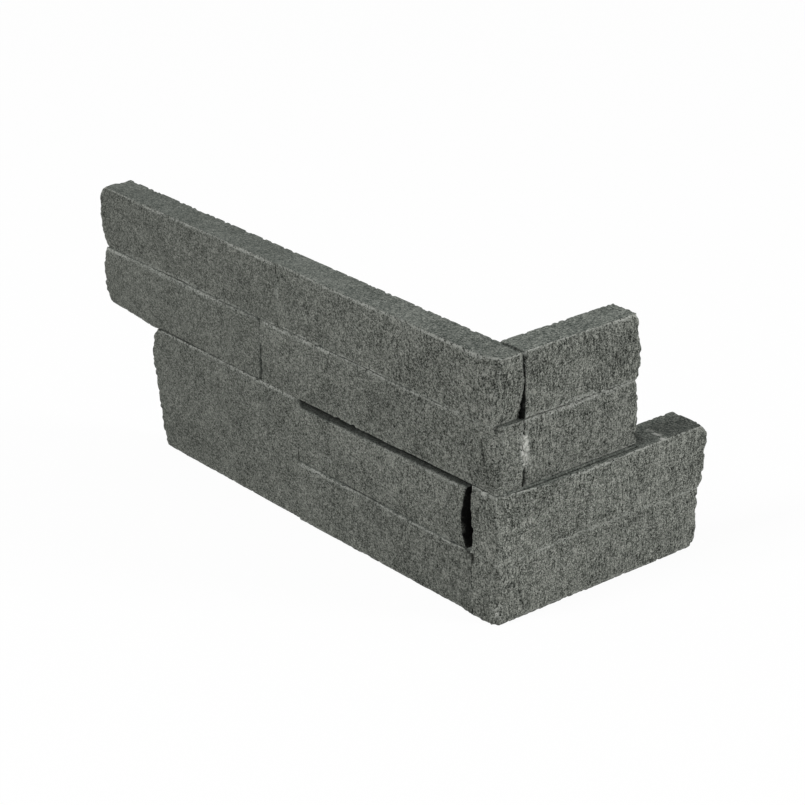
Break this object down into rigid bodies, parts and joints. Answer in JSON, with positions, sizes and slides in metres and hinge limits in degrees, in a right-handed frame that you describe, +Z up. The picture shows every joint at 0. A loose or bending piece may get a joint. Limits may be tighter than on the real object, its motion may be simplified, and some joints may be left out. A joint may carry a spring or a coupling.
{
  "type": "stacked stone corner",
  "caption": "L-shaped outside-corner panel of dark grey split-faced stone strips glued in interlocking courses, with sawn beds and backs and stepped ends.",
  "frame": {"origin": "middle of the underside of the whole object's box", "axes": "+X along the long leg towards the outside corner, +Y along the short leg away from the outside corner, +Z up"},
  "size_m": [0.3674, 0.1498, 0.152],
  "materials": {
    "stone": "rough split and sawn",
    "adhesive": "matt"
  },
  "bodies": {
    "root": {"top_long_left": "stone", "top_long_corner": "stone", "top_short": "stone", "second_long_left": "stone", "second_long_corner": "stone", "second_short": "stone", "double_height": "stone", "third_long": "stone", "third_short_corner": "stone", "bottom_long": "stone", "bottom_short_corner": "stone", "joint_adhesive": "adhesive"}
  },
  "joints": []
}
